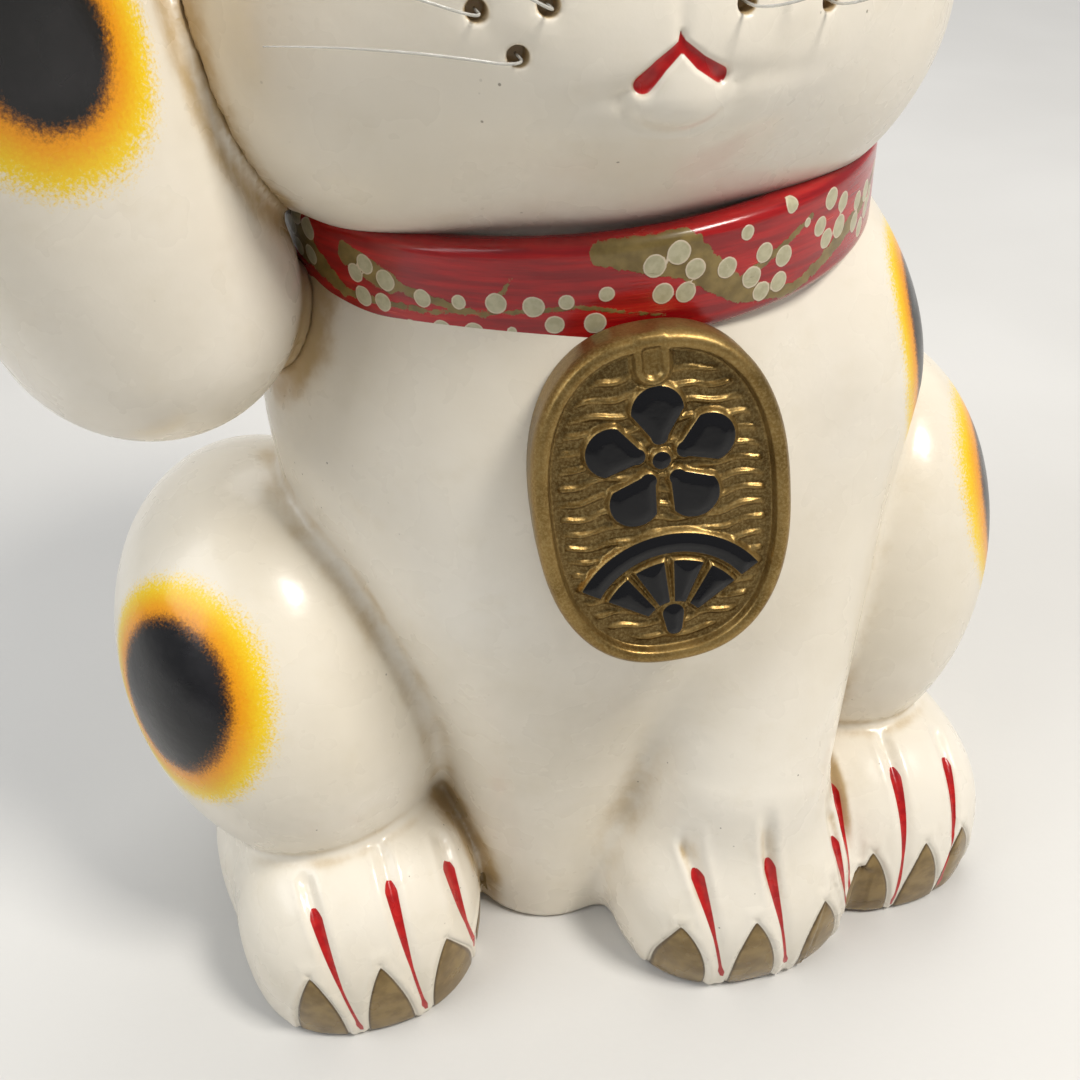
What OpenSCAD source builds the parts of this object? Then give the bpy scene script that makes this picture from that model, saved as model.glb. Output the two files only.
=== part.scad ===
// Beckoning cat figurine, seated, with its right forepaw raised.
// A hollow earthenware casting with a moulded collar and plaque, nylon whiskers
// and a soft plug in the base. The cat faces -Y, its raised paw is on the -X side,
// and it stands on Z = 0 with the origin on the flat base under the neck.

/* [Castings] */
// Thickness of the cast walls
wall = 6; // [4:0.5:9]
// Thickness of the floor of the torso
floor_t = 9; // [7:0.5:12]
// Height of the joint between torso and head
neck_z = 268; // [262:1:272]
// How far the luted parts are sunk into each other
lute = 3; // [1:0.5:4]

/* [Collar] */
// Outer radius of the collar band
collar_r = 91; // [90:0.5:93]
// Height of the collar band
collar_h = 28; // [20:1:30]
// Thickness of the collar band
collar_t = 8; // [6:0.5:10]
// Rounding of the collar's edges
collar_round = 3; // [1:0.5:3.5]

/* [Plaque] */
// Width of the oval plaque
plaque_w = 68; // [60:1:72]
// Height of the oval plaque
plaque_h = 95; // [84:1:98]
// Thickness of the plaque at its rim
plaque_t = 12; // [9:0.5:14]
// Width of the raised rim
rim_w = 5; // [3:0.5:7]
// Depth of the field below the rim
field_d = 2; // [1:0.5:3]

/* [Whiskers] */
// Length of the straight run of a whisker
whisker_l = 42; // [30:1:90]
// Radius of a whisker's bend where it leaves the cheek
whisker_bend = 8; // [5:0.5:15]
// Diameter of a whisker
whisker_d = 1.2; // [0.8:0.1:1.6]
// Diameter of a whisker hole
whisker_hole_d = 4; // [3:0.5:5]

/* [Coin bank] */
// Length of the coin slot behind the ears
slot_l = 56; // [40:1:64]
// Width of the coin slot
slot_w = 7; // [5:0.5:9]
// Radius of the hole in the base
hole_r = 25; // [20:0.5:30]
// Gap round the plug
plug_gap = 0.3; // [0.2:0.05:0.6]
// Width of the plug's flange beyond the hole
flange_w = 4; // [3:0.5:5]

/* [Smoothness] */
// Points round the torso
torso_n = 56; // [40:2:72]
// Points round the head
head_n = 48; // [36:2:60]
// Points round a limb
limb_n = 32; // [20:2:44]

/* [Hidden] */
$fn = 64;

ivory = [0.86, 0.83, 0.76];
red = [0.66, 0.08, 0.07];
gold = [0.55, 0.42, 0.2];
clear_nylon = [0.9, 0.9, 0.88];
plug_rubber = [0.3, 0.3, 0.3];

axis_at = [0, -5, 0];        // upright line that the torso's rings are drawn round
head_at = [-5, -3, 338];     // centre of the skull
hole_at = [0, 46, 0];        // centre of the hole in the base
collar_at = [4, 4, 260];
collar_tilt = [1, -2.4, 0];
plaque_at = [1, -102, 206];
plaque_tilt = [-10, -4, -5];
counterbore_d = 4;           // depth of the seat that takes the plug's flange
edge_round = 3;              // rounding at the foot of the torso
blunt = 0.3;                 // bulge of a tube's end, as a share of its radius

// ---------- shapes as distance fields, negative inside ----------

function ellipsoid(p, c, r) =
    let (q = p - c,
        k = norm([q.x / r.x, q.y / r.y, q.z / r.z]),
        g = norm([q.x / (r.x * r.x), q.y / (r.y * r.y), q.z / (r.z * r.z)]))
    g == 0 ? -min(r) : k * (k - 1) / g;

// An ellipsoid leaning by the angle a in the X-Z plane
function leaning(p, c, r, a) =
    let (q = p - c)
    ellipsoid([q.x * cos(a) - q.z * sin(a), q.y, q.x * sin(a) + q.z * cos(a)], [0, 0, 0], r);

// A limb that tapers from radius r1 at a to r2 at b
function limb(p, a, b, r1, r2) =
    let (t = max(0, min(1, (p - a) * (b - a) / ((b - a) * (b - a)))))
    norm(p - a - t * (b - a)) - (r1 + (r2 - r1) * t);

// A blocky paw: a superellipsoid with exponent e
function pad(p, c, r, e) =
    let (q = p - c, x = abs(q.x / r.x) + 1e-6, y = abs(q.y / r.y) + 1e-6, z = abs(q.z / r.z) + 1e-6,
        s = pow(pow(x, e) + pow(y, e) + pow(z, e), 1 / e),
        g = norm([pow(x, e - 1) / r.x, pow(y, e - 1) / r.y, pow(z, e - 1) / r.z]) * pow(s, 1 - e))
    (s - 1) / g;

// The union of two fields with a fillet of size k
function melt(a, b, k) = let (h = max(k - abs(a - b), 0) / k) min(a, b) - h * h * k / 4;

// The right haunch and heel are fuller than the left ones
function haunch(p, side) = side < 0 ? leaning(p, [-108, -10, 99], [58, 77, 81], -10)
    : leaning(p, [104, -8, 104], [49, 74, 86], 10);
function heel(p, side) = side < 0 ? pad(p, [-106, -20, 16], [47, 66, 42], 2.4)
    : pad(p, [82, 14, 16], [42, 62, 40], 2.4);
function hind_foot(p, side) = pad(p, [side * 100, -62, 16], [45, 50, 50], 2.4);

function trunk(p) =
    let (hips = ellipsoid(p, [0, 28, 82], [100, 86, 105]),
        chest = ellipsoid(p, [-4, -18, 182], [84, 81, 112]),
        back = ellipsoid(p, [0, 22, 150], [84, 88, 130]),
        neck = ellipsoid(p, [3, 8, 234], [84, 83, 60]),
        shoulder = ellipsoid(p, [-62, -12, 200], [36, 44, 52]),
        apron = limb(p, [-20, -48, 150], [-24, -48, 0], 42, 34))
    melt(melt(melt(melt(melt(hips, chest, 40), back, 30), neck, 24), shoulder, 20), apron, 24);

function left_foreleg(p) =
    let (leg = limb(p, [60, -30, 195], [40, -84, 78], 46, 31),
        shoulder = ellipsoid(p, [66, -14, 205], [40, 52, 62]),
        paw = pad(p, [38, -84, 20], [47, 44, 44], 2.4))
    melt(melt(leg, shoulder, 24), paw, 26);

torso_field = function (p)
    let (middle = melt(trunk(p), left_foreleg(p), 12),
        thighs = melt(melt(middle, haunch(p, -1), 8), haunch(p, 1), 8),
        heels = melt(melt(thighs, heel(p, -1), 12), heel(p, 1), 12))
    melt(melt(heels, hind_foot(p, -1), 4), hind_foot(p, 1), 4);

head_field = function (p)
    let (skull = ellipsoid(p, head_at, [92, 95, 84]),
        muzzle = ellipsoid(p, [0, -78, 316], [40, 28, 26]),
        jowl = ellipsoid(p, [3, 5, 288], [86, 87, 38]),
        cheek_r = ellipsoid(p, [-60, -30, 312], [42, 48, 40]),
        cheek_l = ellipsoid(p, [52, -30, 312], [42, 48, 40]))
    melt(melt(melt(melt(skull, muzzle, 26), jowl, 16), cheek_r, 30), cheek_l, 30);

foreleg_field = function (p)
    let (upper = limb(p, [-121, -40, 256], [-143, -60, 345], 40, 38),
        wrist = limb(p, [-143, -60, 345], [-136, -68, 402], 37, 33),
        paw = ellipsoid(p, [-134, -84, 416], [34, 40, 31]))
    melt(melt(upper, wrist, 14), paw, 14);

// ---------- surfaces from the fields ----------

// Distance along d from o to the outermost crossing of the field at depth, from r inwards
function reach(f, o, d, depth, r, tries = 30) =
    let (gap = f(o + d * r) + depth)
    tries == 0 || gap < 0.02 || r < 1 ? max(r, 1) : reach(f, o, d, depth, r - gap * 0.9, tries - 1);

// A ring of points round o on the field's surface, looking along directions dirs
function ring(f, o, dirs, depth, start) = [for (d = dirs) o + d * reach(f, o, d, depth, start)];

function level_dirs(n) = [for (i = [0:n - 1]) [cos(360 * i / n), sin(360 * i / n), 0]];
function cone_dirs(n, lift) =
    [for (i = [0:n - 1]) [cos(360 * i / n) * cos(lift), sin(360 * i / n) * cos(lift), sin(lift)]];

// The triangles of a closed skin: a point, rings of n points, and a point
function skin_faces(n, rings) =
    let (last = 1 + n * rings)
    concat(
        [for (j = [0:n - 1]) [0, 1 + j, 1 + (j + 1) % n]],
        [for (i = [0:rings - 2], j = [0:n - 1])
            let (a = 1 + i * n + j, b = 1 + i * n + (j + 1) % n)
            each [[a, a + n, b + n], [a, b + n, b]]],
        [for (j = [0:n - 1]) [last, 1 + (rings - 1) * n + (j + 1) % n, 1 + (rings - 1) * n + j]]);

module skin(bottom, rings, top) {
    n = len(rings[0]);
    points = concat([bottom], [for (r = rings) each r], [top]);
    polyhedron(points, skin_faces(n, len(rings)), convexity = 8);
}

function above(p, z) = [p.x, p.y, z];
function reversed(v) = [for (i = [len(v) - 1:-1:0]) v[i]];
function mean(v) = v * [for (x = v) 1] / len(v);

// ---------- the castings ----------

// The outer and inner walls meet at the open neck, so the torso is one closed skin
module torso_shell() {
    outer_z = [5, 12, 20, 28, 36, 44, 53, 62, 71, 80, 90, 100, 112, 124, 136, 148, 160, 172, 184,
        196, 208, 220, 232, 244, 256, neck_z];
    inner_z = [neck_z, 252, 238, 222, 204, 186, 168, 150, 132, 114, 98, 82, 66, 52, 40, 28, 18, floor_t];
    dirs = level_dirs(torso_n);
    outer = [for (z = outer_z) ring(torso_field, above(axis_at, z), dirs, 0, 190)];
    foot = [for (p = outer[0]) let (v = p - above(axis_at, p.z), r = norm(v))
        above(axis_at, 0) + v * ((r - edge_round) / r)];
    inner = [for (z = inner_z) ring(torso_field, above(axis_at, z), dirs, wall, 190)];
    skin(above(axis_at, 0), concat([foot], outer, inner), above(axis_at, floor_t));
}

module torso_casting() {
    color(ivory) difference() {
        torso_shell();
        translate([hole_at.x, hole_at.y, -1]) cylinder(r = hole_r, h = floor_t + 2);
        translate([hole_at.x, hole_at.y, -1])
            cylinder(r = hole_r + flange_w + plug_gap, h = counterbore_d + 1);
    }
}

// The head's walls meet at its open neck in the same way: down the inside, then up the outside
module head_shell() {
    lifts = [-30, -24, -18, -12, -7, -2, 3, 8, 14, 20, 27, 34, 42, 50, 58, 66, 74, 82];
    neck_at = [2, 2, neck_z];
    neck = [for (depth = [0, wall]) [for (z = [neck_z, neck_z + 8])
        ring(head_field, above(neck_at, z), level_dirs(head_n), depth, 150)]];
    dome = [for (depth = [0, wall]) [for (a = lifts)
        ring(head_field, head_at, cone_dirs(head_n, a), depth, 150)]];
    crown = [for (depth = [0, wall]) head_at + [0, 0, reach(head_field, head_at, [0, 0, 1], depth, 150)]];
    skin(crown[1], concat(reversed(dome[1]), reversed(neck[1]), neck[0], dome[0]), crown[0]);
}

// An ear: rings that shrink from the skull to the tip, hollowed on the front
module ear(side) {
    n = 24;
    rings = 9;
    lean = side * 33;
    tip = [head_at.x + side * 68, 4, 449];
    root = [for (i = [0:n - 1])
        let (across = lean + 17 * cos(360 * i / n), along = 11 * sin(360 * i / n) - 3,
            d = [sin(across) * cos(along), sin(along), cos(across) * cos(along)])
        head_at + d * (reach(head_field, head_at, d, 0, 150) - lute)];
    centre = [for (k = [0:2]) mean([for (p = root) p[k]])];
    shrunk = [for (k = [0:rings - 1]) let (t = k / rings)
        [for (i = [0:n - 1]) let (front = max(0, -sin(360 * i / n)))
            centre + (tip - centre) * t + (root[i] - centre) * pow(1 - t, 0.6)
                + [0, front * 8 * sin(180 * t), 0]]];
    skin(centre, shrunk, tip);
}

module head_casting() {
    color(ivory) difference() {
        union() {
            head_shell();
            ear(-1);
            ear(1);
        }
        coin_slot();
        for (side = [-1, 1], i = [0:2]) whisker_hole(side, i);
    }
}

module coin_slot() {
    translate([head_at.x - slot_l / 2, head_at.y + 60, 372 - slot_w / 2]) cube([slot_l, 50, slot_w]);
}

// The raised foreleg is a closed bottle shape with its own cavity
module raised_foreleg() {
    outer_z = [222, 228, 236, 246, 258, 272, 287, 303, 319, 335, 350, 364, 376, 386, 395, 404, 413,
        422, 430, 437, 442.5];
    inner_z = [230, 236, 246, 258, 272, 290, 310, 330, 350, 368, 384, 398, 412, 424, 434];
    color(ivory) difference() {
        limb_skin(outer_z, 0, 219.5, 446.5);
        limb_skin(inner_z, wall, 226, 438);
    }
}

// Middle of the raised foreleg at height z: up the forearm, then forward into the paw
function foreleg_axis(z) =
    z < 345 ? [-125 - 18 * (z - 222) / 123, -40 - 20 * (z - 222) / 123, z]
    : z < 400 ? [-143 + 8 * (z - 345) / 55, -60 - 10 * (z - 345) / 55, z]
    : [-135, -70 - 14 * min(1, (z - 400) / 16), z];

module limb_skin(levels, depth, low, high) {
    dirs = level_dirs(limb_n);
    skin(foreleg_axis(low), [for (z = levels) ring(foreleg_field, foreleg_axis(z), dirs, depth, 80)],
        foreleg_axis(high));
}

// Rings of n points along a path, with blunt ends; the path never runs along the direction across
module tube(path, radii, n, across) {
    last = len(path) - 1;
    ways = [for (k = [0:last]) let (f = path[min(k + 1, last)] - path[max(k - 1, 0)]) f / norm(f)];
    rings = [for (k = [0:last])
        let (u = cross(across, ways[k]) / norm(cross(across, ways[k])), v = cross(ways[k], u))
        [for (i = [0:n - 1]) path[k] + radii[k] * (cos(360 * i / n) * v + sin(360 * i / n) * u)]];
    skin(path[0] - blunt * radii[0] * ways[0], rings, path[last] + blunt * radii[last] * ways[last]);
}

// The tail lies against the back and curls up the left side
module tail() {
    path = [[0, 108, 20], [18, 112, 21], [36, 112, 26], [52, 108, 36],
        [64, 102, 50], [70, 96, 66], [72, 91, 82], [71, 88, 95]];
    color(ivory) tube(path, [12, 16, 17, 17, 16, 15, 13, 8], 20, [0, 1, 0]);
}

// ---------- the band, the plaque, the whiskers and the plug ----------

module collar_band() {
    mid = collar_h / 2 - collar_round;
    inner = collar_r - collar_t;
    corners = [[collar_r - collar_round, -mid, -90], [collar_r - collar_round, mid, 0],
        [inner + collar_round, mid, 90], [inner + collar_round, -mid, 180]];
    profile = [for (c = corners, a = [0:30:90])
        [c[0] + collar_round * cos(c[2] + a), c[1] + collar_round * sin(c[2] + a)]];
    color(red) translate(collar_at) rotate(collar_tilt) rotate_extrude($fn = 96) polygon(profile);
}

// An oval that is a little squarer than an ellipse, drawn in the plaque's own plane
module oval(w, h) {
    squareness = 2.4;
    polygon([for (a = [0:7.5:359])
        let (c = cos(a), s = sin(a))
        [w / 2 * sign(c) * pow(abs(c), 2 / squareness), h / 2 * sign(s) * pow(abs(s), 2 / squareness)]]);
}

module plaque() {
    floor_z = plaque_t - field_d;
    relief = field_d + 1;
    color(gold) translate(plaque_at) rotate(plaque_tilt) rotate([90, 0, 0])
        translate([0, 0, -plaque_t / 2]) {
            difference() {
                linear_extrude(plaque_t) oval(plaque_w, plaque_h);
                translate([0, 0, floor_z])
                    linear_extrude(field_d + 1) oval(plaque_w - 2 * rim_w, plaque_h - 2 * rim_w);
            }
            // hanging tab at the top
            translate([0, plaque_h / 2 - 6.2, floor_z - 1]) cylinder(d = 11, h = relief + 2);
            // a five-petalled blossom over a small open fan
            translate([0, 13, floor_z - 1]) linear_extrude(relief + 1)
                polygon([for (a = [0:6:354]) (12 + 4 * sin(5 * a)) * [cos(a), sin(a)]]);
            translate([0, -32, floor_z - 1]) linear_extrude(relief + 1)
                polygon(concat([[3, 0], [-3, 0]], [for (a = [140:-10:40]) 24 * [cos(a), sin(a)]]));
        }
}

// Where a whisker leaves the cheek, and the way that its straight run points
function whisker_root(side, i) = side < 0 ? [[-38, -97, 326], [-25, -103, 327], [-31, -101, 318]][i]
    : [[36, -97, 322], [26, -101, 329], [14, -106, 325]][i];
function whisker_way(side, i) =
    let (d = [side, -0.05, [0.4, 0.6, 0.24][i]]) d / norm(d);

module whisker_hole(side, i) {
    root = whisker_root(side, i);
    translate(root + [0, 2 * wall, 0]) rotate([90, 0, 0])
        cylinder(d = whisker_hole_d, h = 4 * wall, $fn = 24);
}

// A whisker: a drop of glue in its hole, a bend to one side and a straight run
module whisker(side, i) {
    root = whisker_root(side, i);
    way = whisker_way(side, i);
    out = [0, -1, 0];
    turn = acos(out * way);
    bend_to = (way - (out * way) * out) / norm(way - (out * way) * out);
    bend = [for (a = [0:turn / 4:turn + 0.01])
        root + out + whisker_bend * (sin(a) * out + (1 - cos(a)) * bend_to)];
    stub = [for (y = [wall + 1, wall / 2 + 1, wall / 2 + 0.8]) root - y * out];
    thin = whisker_d / 2;
    color(clear_nylon) tube(
        concat(stub, bend, [bend[4] + way * whisker_l / 2, bend[4] + way * whisker_l]),
        [whisker_hole_d / 2, whisker_hole_d / 2, thin, thin, thin, thin, thin, thin, thin * 0.8, thin / 2],
        8, [0, 0, 1]);
}

module base_plug() {
    r = hole_r - plug_gap;
    seat = counterbore_d - 0.6;
    color(plug_rubber) translate(hole_at) rotate_extrude()
        polygon([[0, seat - 2.4], [4, seat - 2.4], [5, seat - 1.6], [r + flange_w, seat - 1.6],
            [r + flange_w, seat], [r, seat], [r, floor_t + 1], [r - 2, floor_t + 5], [r - 5, floor_t + 5],
            [r - 6, floor_t], [0, floor_t]]);
}

torso_casting();
head_casting();
raised_foreleg();
tail();
collar_band();
plaque();
whisker(-1, 0);  // whisker_right_1
whisker(-1, 1);  // whisker_right_2
whisker(-1, 2);  // whisker_right_3
whisker(1, 0);  // whisker_left_1
whisker(1, 1);  // whisker_left_2
whisker(1, 2);  // whisker_left_3
base_plug();
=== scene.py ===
import math

import bmesh
import bpy
import numpy as np
from mathutils import Euler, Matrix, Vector


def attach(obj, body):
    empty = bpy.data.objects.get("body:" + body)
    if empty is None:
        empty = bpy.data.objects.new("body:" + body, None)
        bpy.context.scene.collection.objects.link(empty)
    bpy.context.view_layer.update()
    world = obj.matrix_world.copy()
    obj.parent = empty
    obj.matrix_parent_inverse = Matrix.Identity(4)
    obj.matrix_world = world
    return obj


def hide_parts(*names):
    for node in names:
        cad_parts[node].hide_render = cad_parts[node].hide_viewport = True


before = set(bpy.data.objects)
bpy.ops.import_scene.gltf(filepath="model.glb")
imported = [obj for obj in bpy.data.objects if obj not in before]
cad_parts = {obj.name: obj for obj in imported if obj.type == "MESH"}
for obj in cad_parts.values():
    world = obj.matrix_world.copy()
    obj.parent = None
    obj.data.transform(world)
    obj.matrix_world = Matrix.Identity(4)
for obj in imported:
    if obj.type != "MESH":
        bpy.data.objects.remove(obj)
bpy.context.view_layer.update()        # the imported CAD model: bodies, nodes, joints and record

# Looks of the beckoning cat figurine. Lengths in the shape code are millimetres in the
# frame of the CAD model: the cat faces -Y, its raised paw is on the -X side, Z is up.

MM = 0.001
FIGURE = "figure"


# -------- distance fields
# Every field takes points as an (n, 3) array and is negative inside.

def ellipsoid(p, centre, radii):
    """Close to the true distance near the surface."""
    q = p - np.array(centre, float)
    r = np.array(radii, float)
    k = np.sqrt(((q / r) ** 2).sum(1))
    g = np.sqrt(((q / (r * r)) ** 2).sum(1)) + 1e-9
    return k * (k - 1) / g


def turned(p, centre, axis, degrees):
    """The points seen from centre, in axes turned about x, y or z."""
    q = p - np.array(centre, float)
    a, b = {"x": (1, 2), "y": (0, 2), "z": (0, 1)}[axis]
    c, s = math.cos(math.radians(degrees)), math.sin(math.radians(degrees))
    out = q.copy()
    out[:, a] = q[:, a] * c - q[:, b] * s
    out[:, b] = q[:, a] * s + q[:, b] * c
    return out


def limb(p, a, b, r1, r2):
    """A round bar from a to b whose radius goes from r1 to r2."""
    a, b = np.array(a, float), np.array(b, float)
    t = np.clip((p - a) @ (b - a) / ((b - a) @ (b - a)), 0, 1)
    return np.sqrt(((p - a - t[:, None] * (b - a)) ** 2).sum(1)) - (r1 + (r2 - r1) * t)


def pad(p, centre, radii, e):
    """A cushion shape: an ellipsoid at e = 2, squarer as e grows."""
    q = np.abs((p - np.array(centre, float)) / np.array(radii, float)) + 1e-6
    s = (q ** e).sum(1) ** (1 / e)
    g = np.sqrt(((q ** (e - 1) / np.array(radii, float)) ** 2).sum(1)) * s ** (1 - e)
    return (s - 1) / g


def melt(a, b, k):
    """Union with a fillet of size k."""
    h = np.maximum(k - np.abs(a - b), 0) / k
    return np.minimum(a, b) - h * h * k / 4


def keep(a, b, k=0.8):
    """What is inside both, with its edge rounded."""
    return -melt(-a, -b, k)


def smooth(x, low, high):
    """0 at low, 1 at high, with soft ends."""
    t = np.clip((x - low) / (high - low), 0, 1)
    return t * t * (3 - 2 * t)


def tilt_matrix(degrees):
    return np.array(Euler([math.radians(t) for t in degrees]).to_matrix())


# -------- dimensions
NECK_Z = 268            # height of the joint between head and torso
HEAD_AT = np.array([-5, -3, 338.0])
HOLE_AT = (0, 46)       # plug hole in the base, with a wider seat for the plug's rim
HOLE_R = 25
SEAT_R = 29.3
SEAT_D = 4
SLOT = dict(centre=(-5, 372), half=(28, 3.5), depth=10)

# Each paw: the pad's centre and half sizes, the lines between its toes as x at the top and
# at the floor with the angle of the upper end, and the middle of each claw.
PAWS = {
    "right_hind": dict(
        centre=(-100, -62, 16), size=(45, 50, 50), x=(-146, -54),
        lines=[(-115, -105, 62), (-88.5, -82, 67), (-68, -60, 72)],
        claws=[-119, -95, -71.5, -52]),
    "left_fore": dict(
        centre=(38, -84, 20), size=(47, 44, 44), x=(-10, 86),
        lines=[(14, 23, 64), (38, 47, 62), (67, 75, 64)],
        claws=[8.5, 33.5, 60, 81]),
    "left_hind": dict(
        centre=(100, -62, 16), size=(45, 50, 50), x=(54, 146),
        lines=[(76, 74, 68), (99, 96.5, 69), (122, 117, 69)],
        claws=[64, 86, 106.5, 124]),
}
PAD_SQUARENESS = 2.4
# Angles round the roll of a paw: where the lines and claws end at the floor, where claws begin
FLOOR_ANGLE = -20
CLAW_ANGLE = 23
RAISED_PAW = dict(y=-84, z=416, lines=(-150, -134, -118), claws=(-157, -142, -126, -111))

# The cat's right haunch and heel are fuller than its left ones
HAUNCHES = {-1: ((-108, -10, 99), (58, 77, 81)), 1: ((104, -8, 104), (49, 74, 86))}
HEELS = {-1: ((-106, -20, 16), (47, 66, 42)), 1: ((82, 14, 16), (42, 62, 40))}

WHISKER_ROOTS = {
    "right": [(-38, -97, 326), (-25, -103, 327), (-31, -101, 318)],
    "left": [(36, -97, 322), (26, -101, 329), (14, -106, 325)],
}
MOUTH = dict(apex=(0, 321), tips=((-7.3, 311.8), (9.2, 312.2)))
# The two limbs of the mouth as tapered strokes: start, end, half width at each
MOUTH_STROKES = [
    ((0, 321.2), (0.2, 318.6), 0.15, 1.2), ((0.2, 319), (-4.2, 315.4), 1.0, 1.45),
    ((-4.2, 315.4), (-7.3, 312), 1.45, 1.9), ((0.2, 319), (4.2, 315.4), 1.0, 1.4),
    ((4.2, 315.4), (9.0, 312.4), 1.4, 1.6),
]
EYES = ((-38, 366), (28, 366))
WHISKER_HOLE_R = 2.1


# -------- the figure's parts
def trunk(p):
    d = ellipsoid(p, (0, 28, 82), (100, 86, 105))
    d = melt(d, ellipsoid(p, (-4, -18, 182), (84, 81, 112)), 40)
    d = melt(d, ellipsoid(p, (0, 22, 150), (84, 88, 130)), 30)
    d = melt(d, ellipsoid(p, (3, 8, 234), (84, 83, 60)), 24)
    d = melt(d, ellipsoid(p, (-62, -12, 200), (36, 44, 52)), 20)
    return melt(d, limb(p, (-20, -48, 150), (-24, -48, 0), 42, 34), 24)


def paw_pad(p, paw):
    return pad(p, paw["centre"], paw["size"], PAD_SQUARENESS)


def left_foreleg(p):
    d = limb(p, (60, -30, 195), (40, -84, 78), 46, 31)
    d = melt(d, ellipsoid(p, (66, -14, 205), (40, 52, 62)), 24)
    return melt(d, paw_pad(p, PAWS["left_fore"]), 26)


def haunch(p, side):
    centre, radii = HAUNCHES[side]
    return ellipsoid(turned(p, centre, "y", side * 10), (0, 0, 0), radii)


def heel(p, side):
    centre, radii = HEELS[side]
    return pad(p, centre, radii, PAD_SQUARENESS)


def body(p):
    """Torso, left foreleg, haunches and hind feet."""
    d = melt(trunk(p), left_foreleg(p), 12)
    for side in (-1, 1):
        d = melt(d, haunch(p, side), 7)
    for side in (-1, 1):
        d = melt(d, heel(p, side), 12)
    for name in ("right_hind", "left_hind"):
        d = melt(d, paw_pad(p, PAWS[name]), 4)
    return d


def foreleg(p):
    """The raised foreleg: forearm, wrist and a paw bent forward with four toes."""
    d = limb(p, (-121, -40, 256), (-143, -60, 345), 40, 38)
    d = melt(d, limb(p, (-143, -60, 345), (-136, -68, 402), 37, 33), 14)
    return melt(d, ellipsoid(p, (-134, -84, 416), (34, 40, 31)), 14)


def ear_ends(side):
    """Middle of an ear's base, and its tip."""
    base = HEAD_AT + np.array([side * 46, -5, 62])
    tip = np.array([HEAD_AT[0] + side * 68, 3, 448.0])
    return base, tip


def ear(p, side):
    base, tip = ear_ends(side)
    up = (tip - base) / np.linalg.norm(tip - base)
    front = np.array([0, -1, 0]) - up * (np.array([0, -1, 0]) @ up)
    front /= np.linalg.norm(front)
    across = np.cross(up, front)
    q = p - base
    t = (q @ up) / np.linalg.norm(tip - base)
    taper = np.clip(1 - t, 0.0, 1.3) ** 0.62
    half_w, half_t = 27 * taper + 0.6, 14 * taper + 0.6
    u, v = q @ across, q @ front
    d = (np.sqrt((u / half_w) ** 2 + (v / half_t) ** 2) - 1) * half_t * 0.8
    d = np.maximum(d, np.maximum(t - 1, -0.3 - t) * 50)
    bowl_u, bowl_v = u / (half_w * 0.74), (v - half_t * 1.05) / (half_t * 0.95)
    bowl = (np.sqrt(bowl_u ** 2 + bowl_v ** 2) - 1) * half_t * 0.7
    bowl = np.maximum(bowl, (0.2 - t) * 30)
    return keep(d, -bowl, 2)


def skull(p):
    d = ellipsoid(p, HEAD_AT, (92, 95, 84))
    d = melt(d, ellipsoid(p, (0, -78, 316), (40, 28, 26)), 26)
    d = melt(d, ellipsoid(p, (3, 5, 288), (86, 87, 38)), 16)
    for x in (-60, 52):
        d = melt(d, ellipsoid(p, (x, -30, 312), (42, 48, 40)), 30)
    return d


def head(p):
    d = skull(p)
    for side in (-1, 1):
        d = melt(d, ear(p, side), 7)
    d = melt(d, ellipsoid(p, (1, -95.5, 309), (12, 13, 9)), 5)     # lower lip
    return melt(d, ellipsoid(p, (0, -101, 345), (8, 7, 5)), 4)     # nose


def tail(p):
    # x, y, z and radius at each bend
    path = [(6, 108, 21, 16), (40, 111, 27, 17), (64, 102, 48, 16), (72, 92, 78, 13), (70, 86, 96, 9)]
    d = None
    for a, b in zip(path, path[1:]):
        piece = limb(p, a[:3], b[:3], a[3], b[3])
        d = piece if d is None else melt(d, piece, 6)
    return d


# -------- relief and paint
def roll_angle(p, paw):
    """Angle round the paw's roll: 0 straight ahead, 90 on top."""
    _, y, z = paw["centre"]
    return np.degrees(np.arctan2(p[:, 2] - z, -(p[:, 1] - y)))


def toe_lines(p, paw):
    """Distance sideways from the nearest line between toes, and how far down it is, 0 to 1."""
    angle = roll_angle(p, paw)
    inside = (p[:, 0] > paw["x"][0]) & (p[:, 0] < paw["x"][1])
    off = np.full(len(p), 99.0)
    down = np.zeros(len(p))
    for top, foot, high in paw["lines"]:
        t = (high - angle) / (high - FLOOR_ANGLE)
        x = top + (foot - top) * t
        d = np.where(inside & (t < 1.3), np.abs(p[:, 0] - x), 99)
        nearer = d < off
        off, down = np.where(nearer, d, off), np.where(nearer, t, down)
    return off, down


def near_raised_paw(p):
    return (p[:, 0] < -90) & (p[:, 2] > 380)


def raised_angle(p):
    """Angle round the raised paw's roll: 0 straight ahead, 90 on top."""
    return np.degrees(np.arctan2(p[:, 2] - RAISED_PAW["z"], -(p[:, 1] - RAISED_PAW["y"])))


def claw_depth(p, paw):
    """How far inside a claw's outline a point is, negative outside."""
    angle = roll_angle(p, paw)
    t = (angle - FLOOR_ANGLE) / (CLAW_ANGLE - FLOOR_ANGLE)
    best = np.full(len(p), -99.0)
    for x in paw["claws"]:
        half = 8.3 * (1 - np.clip(t, 0, 1) ** 2.2) ** 0.85
        s = np.minimum(half - np.abs(p[:, 0] - x), (1 - t) * 20)
        best = np.maximum(best, np.where((angle < 60) & (angle > -60), s, -99))
    return best


def segment(p, a, b):
    """Distance in the X-Z plane from the segment a-b, and the place along it."""
    a, b = np.array(a, float), np.array(b, float)
    q = p[:, [0, 2]] - a
    t = np.clip(q @ (b - a) / ((b - a) @ (b - a)), 0, 1)
    return np.sqrt(((q - t[:, None] * (b - a)) ** 2).sum(1)), t


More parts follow.
